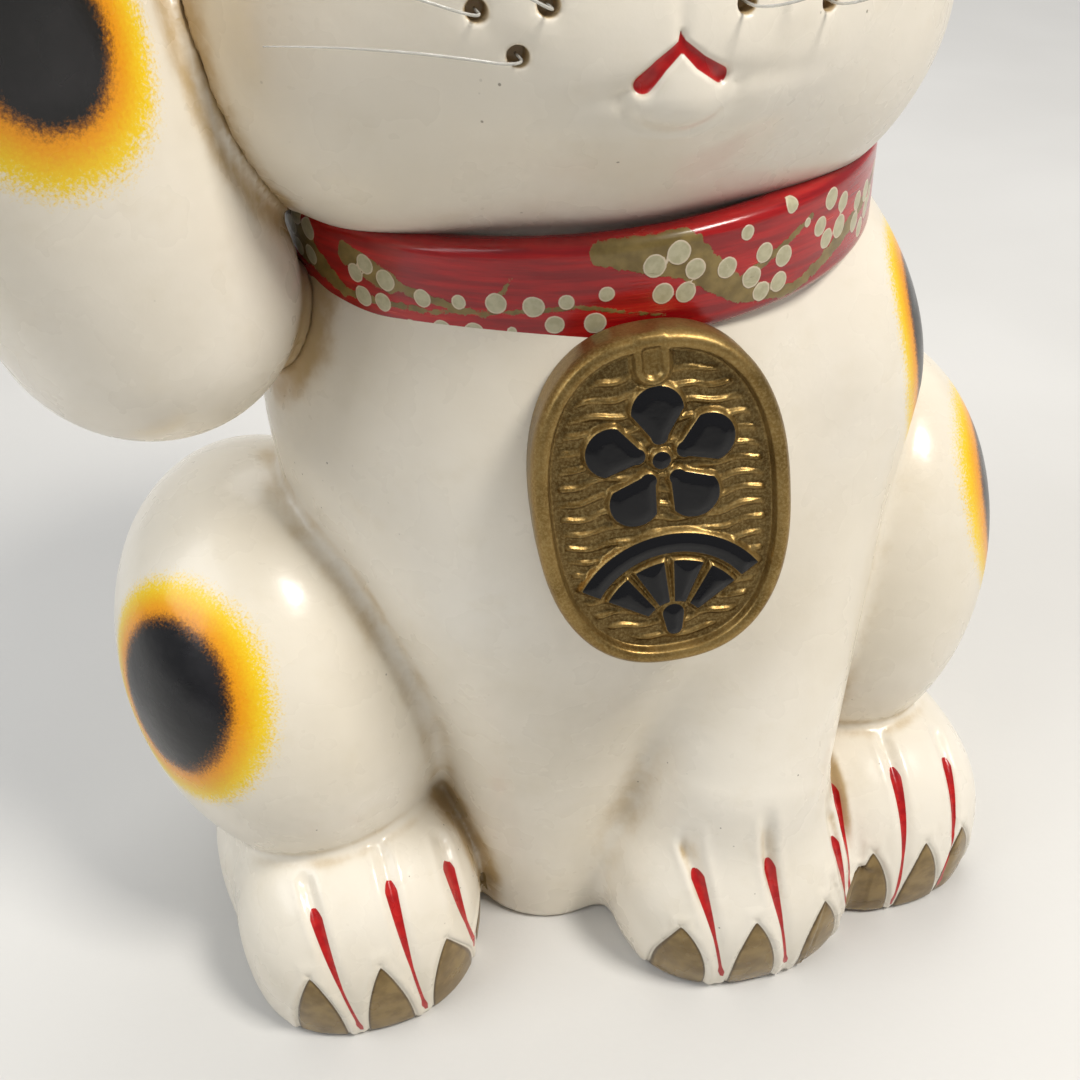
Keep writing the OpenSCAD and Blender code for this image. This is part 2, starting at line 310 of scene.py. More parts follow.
def paw_relief(p):
    """Grooves between the toes with raised lips, and a rim round each claw."""
    out = np.zeros(len(p))
    for paw in PAWS.values():
        near = np.nonzero((p[:, 2] < 90) & (p[:, 0] > paw["x"][0]) & (p[:, 0] < paw["x"][1])
                          & (p[:, 1] < paw["centre"][1] + 12))[0]
        if not len(near):
            continue
        q = p[near]
        off, down = toe_lines(q, paw)
        start = smooth(down, -0.06, 0.03)
        groove = np.exp(-(off / 2.3) ** 2) * start * (1.9 - 1.3 * smooth(down, 0.2, 0.85))
        lips = np.exp(-((off - 4.0) / 1.4) ** 2) * start * 0.35 * (1 - smooth(down, 0.2, 0.6))
        claw = claw_depth(q, paw)
        rim = np.exp(-((claw + 0.2) / 0.7) ** 2) * 0.7 - np.exp(-((claw + 2.3) / 1.2) ** 2) * 0.45
        out[near] -= groove - lips + rim + smooth(claw, 0, 1.5) * 0.3
    return out


def tapered(q, a, b, ra, rb):
    """How far inside a tapered stroke from a to b the points q of the plane are."""
    a, b = np.array(a, float), np.array(b, float)
    t = np.clip((q - a) @ (b - a) / ((b - a) @ (b - a)), 0, 1)
    return ra + (rb - ra) * t - np.sqrt(((q - a - t[:, None] * (b - a)) ** 2).sum(1))


def in_mouth(p):
    """How far inside the mouth's strokes a point is."""
    q = p[:, [0, 2]]
    return np.max([tapered(q, *stroke) for stroke in MOUTH_STROKES], axis=0)


def face_relief(p):
    """Mouth, its corners, lower lip, philtrum, whisker dimples and eyes."""
    out = np.zeros(len(p))
    near = np.nonzero((p[:, 1] < -50) & (p[:, 2] > 285) & (p[:, 2] < 400))[0]
    if not len(near):
        return out
    q = p[near]
    carved = smooth(in_mouth(q), -1.0, 0.6) * 0.9
    for tip, far in ((MOUTH["tips"][0], (-25, 307)), (MOUTH["tips"][1], (37, 309))):
        side, along = segment(q, tip, far)
        carved += np.exp(-(side / 2.6) ** 2) * 0.9 * (1 - along * 0.8)
    # the lower lip and the fold under it
    lip = np.sqrt(((q[:, 0] - 1) / 13) ** 2 + ((q[:, 2] - 311) / 9.5) ** 2)
    carved += np.exp(-((lip - 1) / 0.13) ** 2) * 0.55 * (q[:, 2] < 311)
    philtrum, _ = segment(q, MOUTH["apex"], (0, 340))
    carved += np.exp(-(philtrum / 1.6) ** 2) * 0.7
    for roots in WHISKER_ROOTS.values():
        for x, _, z in roots:
            r = np.hypot(q[:, 0] - x, q[:, 2] - z)
            carved += np.exp(-(r / 3.6) ** 2) * 0.5
    for x, z in EYES:
        r = np.sqrt(((q[:, 0] - x) / 17) ** 2 + ((q[:, 2] - z) / 15) ** 2)
        carved -= 1.6 * (1 - smooth(r, 0.75, 1.05))
        carved += 0.5 * np.exp(-((r - 1.08) / 0.07) ** 2)
    out[near] = -carved
    return out


def raised_paw_relief(p):
    """Grooves between the toes of the raised paw."""
    out = np.zeros(len(p))
    near = np.nonzero(near_raised_paw(p))[0]
    if not len(near):
        return out
    q = p[near]
    angle = raised_angle(q)
    for x in RAISED_PAW["lines"]:
        groove = np.exp(-((q[:, 0] - x) / 2.4) ** 2) * 2.2
        out[near] -= groove * smooth(angle, 75, 40) * smooth(angle, -75, -45)
    return out


def pockets(p, d):
    """Cuts the plug hole, the coin slot and the whisker holes."""
    r = np.hypot(p[:, 0] - HOLE_AT[0], p[:, 1] - HOLE_AT[1])
    d = keep(d, -np.maximum(r - SEAT_R, p[:, 2] - SEAT_D), 0.8)
    d = keep(d, -np.maximum(r - HOLE_R, p[:, 2] - 60), 0.8)
    x, z = SLOT["centre"]
    a, b = SLOT["half"]
    box = np.maximum(np.abs(p[:, 0] - x) - a, np.abs(p[:, 2] - z) - b)
    d = keep(d, -np.maximum(box, 78 - p[:, 1]), 2.2)
    for roots in WHISKER_ROOTS.values():
        for x, y, z in roots:
            r = np.hypot(p[:, 0] - x, p[:, 2] - z) - WHISKER_HOLE_R
            d = keep(d, -np.maximum(r, np.abs(p[:, 1] - y) - 6), 0.9)
    return d


def whole(p):
    """The fused figure without its relief."""
    d = melt(body(p), foreleg(p), 8)
    d = melt(d, head(p), 6)
    return melt(d, tail(p), 7)


def figure(p):
    d = whole(p) - paw_relief(p) - face_relief(p) - raised_paw_relief(p)
    d = keep(d, -p[:, 2], 3)
    return pockets(p, d)


def piece_field(name):
    """The share of the fused figure that belongs to one casting: neighbours meet without a gap."""
    def field(p):
        d = figure(p)
        if name == "head":
            d = keep(d, NECK_Z - p[:, 2], 0.5)
            return keep(d, 3 - foreleg(p), 0.6)
        if name == "torso":
            d = keep(d, p[:, 2] - NECK_Z, 0.5)
            d = keep(d, 2 - tail(p), 0.6)
            return keep(d, 3 - foreleg(p), 0.6)
        if name == "foreleg":
            return keep(d, foreleg(p) - 3, 0.6)
        return keep(d, tail(p) - 2, 0.6)
    return field


# -------- skins from fields
BLOCK = 10              # lattice cells along a block's side
BATCH = 300             # blocks worked out at once
FAR = 99                # stands for a distance that doesn't matter


def sample(field, low, high, step):
    """Field values on a lattice, worked out only in the blocks near the surface."""
    blocks = np.ceil((np.array(high) - low) / step / BLOCK).astype(int)
    ids = np.stack(np.meshgrid(*[np.arange(n) for n in blocks], indexing="ij"), -1).reshape(-1, 3)
    middle = low + (ids + 0.5) * BLOCK * step
    at_middle = field(middle)
    values = np.empty(blocks * BLOCK + 1, np.float32)
    for i, v in zip(ids * BLOCK, at_middle):
        values[i[0]:i[0] + BLOCK + 1, i[1]:i[1] + BLOCK + 1, i[2]:i[2] + BLOCK + 1] = np.sign(v) * FAR
    near = ids[np.abs(at_middle) < 1.2 * BLOCK * step]
    local = np.stack(np.meshgrid(*[np.arange(BLOCK + 1)] * 3, indexing="ij"), -1).reshape(-1, 3)
    for k in range(0, len(near), BATCH):
        some = near[k:k + BATCH] * BLOCK
        points = (some[:, None] + local[None]).reshape(-1, 3)
        got = field(low + points * step).astype(np.float32)
        got = got.reshape(len(some), BLOCK + 1, BLOCK + 1, BLOCK + 1)
        for i, v in zip(some, got):
            values[i[0]:i[0] + BLOCK + 1, i[1]:i[1] + BLOCK + 1, i[2]:i[2] + BLOCK + 1] = v
    return values


def surface_net(values, low, step):
    """Quads on the zero surface: one vertex in each cell that the surface crosses."""
    inside = values < 0
    corners = [(i, j, k) for i in (0, 1) for j in (0, 1) for k in (0, 1)]
    n = np.array(values.shape) - 1

    def at(a, c):
        return a[c[0]:c[0] + n[0], c[1]:c[1] + n[1], c[2]:c[2] + n[2]]

    count = sum(at(inside, c).astype(np.int8) for c in corners)
    cells = np.argwhere((count > 0) & (count < 8))
    index = np.full(n, -1, np.int64)
    index[tuple(cells.T)] = np.arange(len(cells))
    total = np.zeros((len(cells), 3))
    crossings = np.zeros(len(cells))
    for a in corners:
        for axis in range(3):
            if a[axis]:
                continue
            b = tuple(c + (axis == m) for m, c in enumerate(a))
            va = values[tuple((cells + a).T)]
            vb = values[tuple((cells + b).T)]
            cut = (va < 0) != (vb < 0)
            t = va[cut] / (va[cut] - vb[cut])
            total[cut] += np.array(a) + t[:, None] * (np.array(b) - np.array(a))
            crossings[cut] += 1
    points = low + (cells + total / crossings[:, None]) * step
    quads = []
    for axis in range(3):
        others = [m for m in range(3) if m != axis]
        size = [slice(1, n[m]) if m != axis else slice(0, n[m]) for m in range(3)]
        here = inside[tuple(size)]
        there = np.roll(inside, -1, axis)[tuple(size)]
        edge = np.argwhere(here != there)
        if not len(edge):
            continue
        for m in others:
            edge[:, m] += 1
        outward = inside[tuple(edge.T)]
        ring = []
        for da, db in ((0, 0), (1, 0), (1, 1), (0, 1)):
            c = edge.copy()
            c[:, others[0]] -= da
            c[:, others[1]] -= db
            ring.append(index[tuple(c.T)])
        quad = np.stack(ring, 1)
        flip = ~outward if axis != 1 else outward
        quad[flip] = quad[flip][:, ::-1]
        quads.append(quad)
    return points, np.concatenate(quads)


def settle(field, points, rounds=3):
    """Moves points onto the field's zero surface."""
    e = 0.25
    tets = np.array([(1, -1, -1), (-1, -1, 1), (-1, 1, -1), (1, 1, 1)], float)
    for _ in range(rounds):
        slope = sum(t * field(points + t * e)[:, None] for t in tets) / (4 * e)
        size = np.maximum((slope ** 2).sum(1), 0.2)
        points = points - np.clip(field(points) / size, -1.5, 1.5)[:, None] * slope
    return points


def refine(points, faces, wanted):
    """Splits the faces that wanted() names; their neighbours are split to match."""
    mesh = bpy.data.meshes.new("refine")
    mesh.from_pydata(points, [], faces)
    bm = bmesh.new()
    bm.from_mesh(mesh)
    bm.verts.ensure_lookup_table()
    chosen = wanted(np.array([v.co for v in bm.verts]))
    edges = [e for e in bm.edges if chosen[e.verts[0].index] and chosen[e.verts[1].index]]
    bmesh.ops.subdivide_edges(bm, edges=edges, cuts=1, use_grid_fill=True)
    bm.verts.index_update()
    new_points = np.array([v.co for v in bm.verts])
    new_faces = [[v.index for v in f.verts] for f in bm.faces]
    bm.free()
    bpy.data.meshes.remove(mesh)
    return new_points, new_faces


def fine_places(name):
    """Where a casting's skin needs smaller faces: two passes, the second for the finest detail."""
    def near_paws(p):
        ok = np.zeros(len(p), bool)
        for paw in PAWS.values():
            ok |= ((p[:, 0] > paw["x"][0] - 2) & (p[:, 0] < paw["x"][1] + 2)
                   & (p[:, 1] < paw["centre"][1]) & (p[:, 2] < 84))
        return ok

    def near_face(p):
        return (p[:, 1] < -60) & (p[:, 2] > 296) & (p[:, 2] < 390) & (np.abs(p[:, 0] + 3) < 62)

    def near_slot(p):
        x, z = SLOT["centre"]
        return (p[:, 1] > 60) & (np.abs(p[:, 0] - x) < 32) & (np.abs(p[:, 2] - z) < 7)

    def near_marks(p):
        ok = (np.abs(p[:, 0] - 1) < 12) & (p[:, 2] > 308) & (p[:, 2] < 324)
        for roots in WHISKER_ROOTS.values():
            for x, _, z in roots:
                ok |= np.hypot(p[:, 0] - x, p[:, 2] - z) < 4
        return ok & (p[:, 1] < -60)

    def near_marks_of_paws(p):
        marks = np.maximum(claw_paint(p), red_paint(p))
        return near_paws(p) & (np.abs(marks) < 1.6)

    if name == "torso":
        return [near_paws, near_marks_of_paws]
    if name == "head":
        return [lambda p: near_face(p) | near_slot(p), near_marks]
    if name == "foreleg":
        return [lambda p: (p[:, 2] > 385) & (p[:, 1] < -80)]
    return []


# Size of a lattice cell for each casting, and the box that its lattice fills
STEPS = {"torso": 2.1, "head": 2.0, "foreleg": 1.8, "tail": 1.6}
BOXES = {
    "torso": ((-180, -142, -6), (166, 126, 276)),
    "head": ((-112, -122, 260), (104, 104, 456)),
    "foreleg": ((-188, -130, 210), (-76, 6, 456)),
    "tail": ((-22, 70, -4), (96, 134, 112)),
}


def skin(name):
    """Points and faces of one casting."""
    field = piece_field(name)
    low, high = (np.array(v, float) for v in BOXES[name])
    step = STEPS[name] * 1
    points, quads = surface_net(sample(field, low, high, step), low, step)
    points = settle(field, points)
    faces = quads.tolist()
    for wanted in fine_places(name):
        points, faces = refine(points, faces, wanted)
        points = settle(field, points, 2)
    return points, faces


# -------- painted marks
# Spots: centre, half sizes of the black part, size of the orange halo against the black
SPOTS = [
    ((-119, -90, 325), (12.5, 12, 14.5), 2.0),
    ((-141, -60, 131), (23, 23, 25), 1.55),
    ((148, -38, 142), (25, 25, 26), 1.55),
    ((-52, 60, 388), (22, 26, 20), 1.5),
    ((48, -40, 405), (22, 24, 18), 1.5),
    ((-22, 106, 200), (28, 20, 32), 1.45),
    ((62, 86, 150), (20, 20, 26), 1.45),
]
SHOULDER_SPOT = ((105, -45, 213), (18, 18, 26), 1.55)


def one_spot(p, centre, radii, halo):
    """1 at the black's edge, 2 at the halo's edge."""
    k = np.sqrt((((p - centre) / radii) ** 2).sum(1))
    return np.where(k < 1, k, 1 + (k - 1) / (halo - 1))


def spot_paint(p):
    """The nearest spot's scale; the shoulder's spot stays off the haunch beside it."""
    best = np.min([one_spot(p, *spot) for spot in SPOTS], axis=0)
    clear_of_haunch = haunch(p, 1) > 3
    return np.where(clear_of_haunch, np.minimum(best, one_spot(p, *SHOULDER_SPOT)), best)


def claw_paint(p):
    """How far inside a claw a point is, on the pads and on the raised paw."""
    best = np.full(len(p), -9.0)
    for paw in PAWS.values():
        near = (p[:, 2] < 60) & (p[:, 1] < paw["centre"][1]) & (paw_pad(p, paw) < 3)
        best = np.where(near, np.maximum(best, claw_depth(p, paw)), best)
    near = near_raised_paw(p)
    angle = raised_angle(p)
    for x in RAISED_PAW["claws"]:
        t = np.clip((angle + 60) / 45, 0, 2)
        s = np.minimum(5.5 * (1 - np.clip(t, 0, 1) ** 1.6) - np.abs(p[:, 0] - x), (1 - t) * 10)
        best = np.where(near & (angle < 0) & (angle > -60), np.maximum(best, s), best)
    return np.clip(best, -5, 5)


def red_paint(p):
    """How far inside a red stroke a point is: toe strokes and the mouth."""
    best = np.full(len(p), -9.0)

    def stroke(off, t):
        head = np.sqrt(np.clip(t / 0.07, 0, 1))
        drop = 0.5 * np.exp(-((t - 0.93) / 0.04) ** 2)
        wide = head * (0.55 + 1.75 * np.clip(1 - t / 0.55, 0, 1) + drop)
        return np.where((t > 0) & (t < 1.0), wide - off, -9)

    for paw in PAWS.values():
        near = (p[:, 1] < paw["centre"][1] + 5) & (p[:, 2] < 90) & (paw_pad(p, paw) < 12)
        off, down = toe_lines(p, paw)
        best = np.where(near, np.maximum(best, stroke(off, (down - 0.13) / 0.8)), best)
    near = near_raised_paw(p)
    angle = raised_angle(p)
    for x in RAISED_PAW["lines"]:
        best = np.where(near, np.maximum(best, stroke(np.abs(p[:, 0] - x), (50 - angle) / 100)), best)
    face = (p[:, 1] < -60) & (p[:, 2] > 300) & (p[:, 2] < 330)
    best = np.where(face, np.maximum(best, in_mouth(p)), best)
    nose = 6 - np.hypot(p[:, 0], (p[:, 2] - 345 - np.abs(p[:, 0]) * 0.35) * 1.6)
    best = np.where((p[:, 1] < -90) & (p[:, 2] > 335), np.maximum(best, nose), best)
    return np.clip(best, -5, 5)


def eye_paint(p):
    """Radius inside an eye, 1 at its outline."""
    best = np.full(len(p), 3.0)
    for x, z in EYES:
        r = np.sqrt(((p[:, 0] - x) / 15) ** 2 + ((p[:, 2] - z) / 14) ** 2)
        best = np.minimum(best, np.where(p[:, 1] < -40, r, 3))
    return best


def ear_paint(p):
    """Inside of the ears: 1 deep in the bowl, 0 outside."""
    out = np.zeros(len(p))
    for side in (-1, 1):
        base, tip = ear_ends(side)
        near = (p[:, 2] > 392) & (p[:, 1] < 4) & (np.sign(p[:, 0] - HEAD_AT[0]) == side)
        t = (p - base) @ (tip - base) / ((tip - base) @ (tip - base))
        u = p[:, 0] - (base[0] + (tip[0] - base[0]) * t)
        half = 20 * np.clip(1 - t, 0, 1.2) ** 0.62
        deep = 1 - np.abs(u) / np.maximum(half, 1)
        out = np.where(near & (t > 0.1) & (t < 0.95), np.maximum(out, deep), out)
    return out


def cavity(p, normals):
    """1 in tight creases, 0 on open ground, from how little room there is above the surface; it places both
    the crease dirt and the painted shade.
    """
    room = sum(whole(p + normals * h) / h for h in (5.0, 12.0)) / 2
    return np.clip(1 - room, 0, 1)


# -------- mesh objects
def mesh_object(name, points, faces, material, attributes=None):
    mesh = bpy.data.meshes.new(name)
    mesh.from_pydata(np.asarray(points) * MM, [], faces)
    mesh.update()
    bm = bmesh.new()
    bm.from_mesh(mesh)
    inside_out = bm.calc_volume(signed=True) < 0
    bm.free()
    if inside_out:
        mesh.flip_normals()
    for mark, values in (attributes or {}).items():
        layer = mesh.attributes.new(mark, "FLOAT", "POINT")
        layer.data.foreach_set("value", np.asarray(values, np.float32))
    mesh.polygons.foreach_set("use_smooth", np.ones(len(mesh.polygons), bool))
    mesh.materials.append(material)
    obj = bpy.data.objects.new(name, mesh)
    bpy.context.scene.collection.objects.link(obj)
    return obj


def vertex_normals(points, faces):
    mesh = bpy.data.meshes.new("normals")
    mesh.from_pydata(points, [], faces)
    mesh.update()
    out = np.empty(len(points) * 3, np.float32)
    mesh.vertices.foreach_get("normal", out)
    bpy.data.meshes.remove(mesh)
    return out.reshape(-1, 3).astype(float)


# -------- materials
class Shader:
    """A short way to write a node material."""

    def __init__(self, name):
        self.material = bpy.data.materials.new(name)
        self.material.use_nodes = True
        self.tree = self.material.node_tree
        self.bsdf = self.tree.nodes["Principled BSDF"]

    def node(self, kind, **settings):
        n = self.tree.nodes.new(kind)
        for key, value in settings.items():
            setattr(n, key, value)
        return n

    def plug(self, value, socket):
        if isinstance(value, bpy.types.NodeSocket):
            self.tree.links.new(value, socket)
        elif value is not None:
            socket.default_value = value

    def fill(self, node, **values):
        """Sets or links inputs by name; an underscore stands for a space."""
        for key, value in values.items():
            self.plug(value, node.inputs[key.replace("_", " ")])

    def place(self):
        return self.node("ShaderNodeTexCoord").outputs["Object"]

    def attribute(self, name):
        return self.node("ShaderNodeAttribute", attribute_name=name).outputs["Fac"]

    def math(self, operation, a, b=None, c=None):
        n = self.node("ShaderNodeMath", operation=operation)
        for value, socket in zip((a, b, c), n.inputs):
            self.plug(value, socket)
        return n.outputs[0]

    def noise(self, scale, detail=3.0, roughness=0.5, stretch=None):
        n = self.node("ShaderNodeTexNoise")
        where = self.place()
        if stretch:
            m = self.node("ShaderNodeMapping")
            self.fill(m, Vector=where, Scale=stretch)
            where = m.outputs[0]
        self.fill(n, Vector=where, Scale=scale, Detail=detail, Roughness=roughness)
        return n.outputs["Fac"]

    def cells(self, scale):
        n = self.node("ShaderNodeTexVoronoi")
        self.fill(n, Vector=self.place(), Scale=scale)
        return n.outputs["Distance"]

    def fade(self, value, low, high, out_low=0.0, out_high=1.0):
        n = self.node("ShaderNodeMapRange", interpolation_type="SMOOTHSTEP")
        self.fill(n, Value=value, From_Min=low, From_Max=high, To_Min=out_low, To_Max=out_high)
        return n.outputs["Result"]

    def mix(self, factor, a, b):
        n = self.node("ShaderNodeMix", data_type="RGBA")
        self.plug(factor, n.inputs["Factor"])
        for value, socket in ((a, n.inputs[6]), (b, n.inputs[7])):
            self.plug((*value, 1) if isinstance(value, tuple) else value, socket)
        return n.outputs[2]

    def bump(self, height, distance, strength=1.0, normal=None):
        n = self.node("ShaderNodeBump")
        self.fill(n, Height=height, Distance=distance, Strength=strength, Normal=normal)
        return n.outputs[0]

    def finish(self, color, roughness, normal=None, **settings):
        base = (*color, 1) if isinstance(color, tuple) else color
        self.fill(self.bsdf, Base_Color=base, Roughness=roughness, Normal=normal, **settings)
        return self.material


# Colours as linear red, green and blue
IVORY_SHADE, IVORY = (0.76, 0.695, 0.57), (0.845, 0.79, 0.685)
IVORY_STAIN = (0.66, 0.58, 0.42)
# yellowed dirt together with painted shade for the creases
CREASE_DIRT_AND_SHADE = (0.46, 0.31, 0.12)
SPECK = (0.13, 0.10, 0.06)
ORANGE, YELLOW, SCORCH = (0.80, 0.31, 0.004), (0.86, 0.60, 0.015), (0.25, 0.07, 0.004)
BLACK, BLACK_BLOOM = (0.004, 0.004, 0.005), (0.014, 0.013, 0.015)
EAR_RED = (0.52, 0.02, 0.018)
EYE_BLACK, EYE_AMBER = (0.006, 0.006, 0.006), (0.80, 0.52, 0.04)
HORN_DARK, HORN, HORN_EDGE = (0.16, 0.098, 0.026), (0.27, 0.18, 0.06), (0.055, 0.03, 0.01)
STROKE_DARK, STROKE_RED = (0.36, 0.004, 0.006), (0.50, 0.012, 0.010)
BAND_DARK, BAND_RED = (0.25, 0.003, 0.005), (0.43, 0.006, 0.007)
# the darker red for the band's lower edge is painted shade
BAND_STREAK, BAND_FOOT_SHADE = (0.68, 0.05, 0.015), (0.22, 0.004, 0.006)
BARK_DARK, BARK_GILT = (0.15, 0.10, 0.022), (0.25, 0.175, 0.05)
DOT_DARK, DOT_CREAM, DOT_EDGE = (0.40, 0.37, 0.23), (0.50, 0.47, 0.31), (0.66, 0.56, 0.42)
GILT_DARK, GILT = (0.16, 0.092, 0.022), (0.30, 0.19, 0.06)
# the darkest gilt is painted shade for the recesses
GILT_RECESS_SHADE, GILT_FLAKE = (0.05, 0.027, 0.008), (0.55, 0.42, 0.18)
INK = (0.006, 0.006, 0.007)


def ivory_material():
    s = Shader("pearl_ivory_paint")
    broad = s.noise(11, 4, 0.55)
    fine = s.noise(80, 4, 0.6)
    color = s.mix(s.fade(broad, 0.3, 0.75), IVORY_SHADE, IVORY)
    color = s.mix(s.fade(fine, 0.5, 0.85, 0, 0.25), color, IVORY_STAIN)
    # yellowed dirt and painted shade in the creases and holes, broken up by noise
    dirt_and_shade = s.math("MULTIPLY", s.attribute("cavity"), s.fade(fine, 0.2, 0.8, 0.6, 1.3))
    color = s.mix(s.fade(dirt_and_shade, 0.25, 1.0, 0, 0.8), color, CREASE_DIRT_AND_SHADE)
    # specks
    speck = s.math("MULTIPLY", s.fade(s.cells(170), 0.04, 0.075, 1, 0), s.fade(s.noise(20, 2), 0.55, 0.62))
    color = s.mix(s.math("MULTIPLY", speck, 0.7), color, SPECK)
    # sprayed spots: black with a soft edge, orange, yellow, then a grainy edge
    grain = s.math("SUBTRACT", s.noise(1300, 2, 0.7), 0.5)
    blot = s.math("MULTIPLY", s.math("SUBTRACT", s.noise(38, 3), 0.5), 0.25)
    place = s.math("ADD", s.attribute("spot"), blot)
    spray = s.math("MULTIPLY_ADD", grain, 1.0, place)
    soft = s.math("MULTIPLY_ADD", grain, 0.4, place)
    halo = s.mix(s.fade(soft, 1.2, 1.85), ORANGE, YELLOW)
    halo = s.mix(s.fade(soft, 1.02, 1.3, 0.7, 0), halo, SCORCH)
    color = s.mix(s.fade(spray, 1.72, 2.2, 1, 0), color, halo)
    bloom = s.mix(s.fade(s.noise(45, 4, 0.6), 0.42, 0.75), BLACK, BLACK_BLOOM)
    color = s.mix(s.fade(soft, 0.92, 1.2, 1, 0), color, bloom)
    # inside of the ears
    rosy = s.math("MULTIPLY_ADD", grain, 0.25, s.attribute("ear"))
    color = s.mix(s.fade(rosy, 0.1, 0.4), color, EAR_RED)
    # eyes: outline, iris, pupil
    eye = s.attribute("eye")
    color = s.mix(s.fade(eye, 0.985, 1.0, 1, 0), color, EYE_BLACK)
    color = s.mix(s.fade(eye, 0.885, 0.9, 1, 0), color, EYE_AMBER)
    color = s.mix(s.fade(eye, 0.52, 0.535, 1, 0), color, EYE_BLACK)
    # claws with a darker edge, and red strokes
    claw = s.attribute("claw")
    horn = s.mix(s.fade(s.noise(150, 3), 0.3, 0.7), HORN_DARK, HORN)
    horn = s.mix(s.fade(claw, 0.15, 1.0, 0.8, 0), horn, HORN_EDGE)
    color = s.mix(s.fade(claw, -0.15, 0.2), color, horn)
    red = s.fade(s.attribute("red"), -0.12, 0.12)
    crimson = s.mix(s.fade(s.noise(300, 2), 0.3, 0.7), STROKE_DARK, STROKE_RED)
    color = s.mix(red, color, crimson)
    rough = s.fade(s.noise(60, 3), 0.3, 0.75, 0.24, 0.36)
    waves = s.bump(s.noise(45, 3, 0.5, stretch=(1, 1, 1.8)), 0.0007, 0.5)
    pits = s.bump(s.noise(800, 2, 0.6), 0.00005, 0.5, waves)
    return s.finish(color, rough, pits, Coat_Weight=0.12, Coat_Roughness=0.1, Specular_IOR_Level=0.36)


def red_enamel():
    s = Shader("collar_enamel")
    streak = s.noise(26, 5, 0.65, stretch=(1, 1, 16))
    color = s.mix(s.fade(streak, 0.35, 0.62), BAND_DARK, BAND_RED)
    color = s.mix(s.fade(streak, 0.58, 0.78, 0, 0.75), color, BAND_STREAK)
    # painted shade: the band darker towards its lower edge
    color = s.mix(s.fade(s.attribute("height"), -13, -8, 0.75, 0), color, BAND_FOOT_SHADE)
    ragged = s.math("MULTIPLY_ADD", s.math("SUBTRACT", s.noise(420, 4, 0.65), 0.5), 3.0, s.attribute("bark"))
    gilt = s.mix(s.fade(s.noise(240, 3), 0.3, 0.7), BARK_DARK, BARK_GILT)
    bark = s.fade(ragged, -0.1, 0.25)
    color = s.mix(bark, color, gilt)
    wobble = s.math("MULTIPLY_ADD", s.math("SUBTRACT", s.noise(330, 2), 0.5), 0.5, s.attribute("dots"))
    dots = s.fade(wobble, -0.1, 0.12)
    cream = s.mix(s.fade(s.noise(500, 3), 0.3, 0.7), DOT_DARK, DOT_CREAM)
    cream = s.mix(s.fade(wobble, 0.15, 0.55, 1, 0), cream, DOT_EDGE)
    color = s.mix(dots, color, cream)
    thick = s.math("MULTIPLY_ADD", dots, 1.0, s.math("MULTIPLY", bark, 0.4))
    layers = s.bump(thick, 0.0002, 0.8, s.bump(streak, 0.0004, 0.5))
    rough = s.math("MULTIPLY_ADD", s.math("MAXIMUM", dots, bark), 0.16, s.fade(streak, 0.3, 0.8, 0.17, 0.3))
    return s.finish(color, rough, layers, Coat_Weight=0.3, Coat_Roughness=0.08, Specular_IOR_Level=0.4)


def gilt_paint():
    s = Shader("plaque_gilt")
    worn = s.noise(70, 4, 0.6)
    color = s.mix(s.fade(worn, 0.3, 0.7), GILT_DARK, GILT)
    # painted shade: the gilt darkened in the plaque's recessed field
    color = s.mix(s.fade(s.attribute("hollow"), 0.1, 0.9, 0, 0.8), color, GILT_RECESS_SHADE)
    flake = s.fade(s.noise(1300, 2, 0.7), 0.35, 0.75)
    color = s.mix(s.math("MULTIPLY", flake, 0.35), color, GILT_FLAKE)
    ink = s.fade(s.attribute("ink"), -0.08, 0.1)
    color = s.mix(ink, color, INK)
    rough = s.mix(ink, s.fade(worn, 0.3, 0.7, 0.3, 0.44), (0.09, 0.09, 0.09))
    metal = s.math("MULTIPLY", s.math("SUBTRACT", 1.0, ink), 0.75)
    grain = s.bump(s.noise(800, 3, 0.6), 0.00012, 0.5, s.bump(worn, 0.0005, 0.4))
    return s.finish(color, rough, grain, Metallic=metal, Specular_IOR_Level=0.3)


def bristle():
    s = Shader("clear_bristle")
    shade = s.mix(s.fade(s.noise(300, 3), 0.3, 0.7), (0.74, 0.73, 0.68), (0.85, 0.85, 0.82))
    return s.finish(shade, 0.18, s.bump(s.noise(900, 2), 0.00003, 0.5), Transmission_Weight=0.55, IOR=1.5)


def plain_material(name, color, roughness):
    s = Shader(name)
    shade = s.mix(s.fade(s.noise(120, 3), 0.3, 0.7), tuple(c * 0.8 for c in color), color)
    return s.finish(shade, roughness, s.bump(s.noise(500, 3), 0.0001, 0.5))


def build_castings(material):
    nodes = {"torso": "torso_casting", "head": "head_casting", "foreleg": "raised_foreleg", "tail": "tail"}
    for name, node in nodes.items():
        points, faces = skin(name)
        normals = vertex_normals(points, faces)
        marks = {
            "spot": spot_paint(points), "claw": claw_paint(points), "red": red_paint(points),
            "eye": eye_paint(points), "ear": ear_paint(points), "cavity": cavity(points, normals),
        }
        piece = mesh_object(f"{name}_skin", points, faces, material, marks)
        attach(piece, FIGURE)
        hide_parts(node)


# -------- collar
COLLAR = dict(at=(4, 4, 260), tilt=(1, -2.4, 0), radius=91, half=14, thick=8, round=3, inner_round=1.5)

# The painted branch, as (distance round the band from its front, height on it)
BLOSSOMS = [(-105, 7), (-77, 0.5), (4, 3), (31, -3), (56, 3), (76, -2),
            (112, 4), (146, -3), (190, 3), (232, -2), (262, 4), (-140, -3), (-182, 2), (-226, -4), (-262, 3)]
BUD_RUNS = [((-68, -6), (-10, -3), 12), ((14, 4), (48, 9), 5), ((84, 3), (104, -5), 4),
            ((120, -6), (140, 6), 4), ((156, 4), (180, -6), 5), ((-132, 6), (-118, -2), 4),
            ((-174, -6), (-150, 5), 5), ((-216, 6), (-192, -5), 5), ((200, -6), (224, 6), 5)]
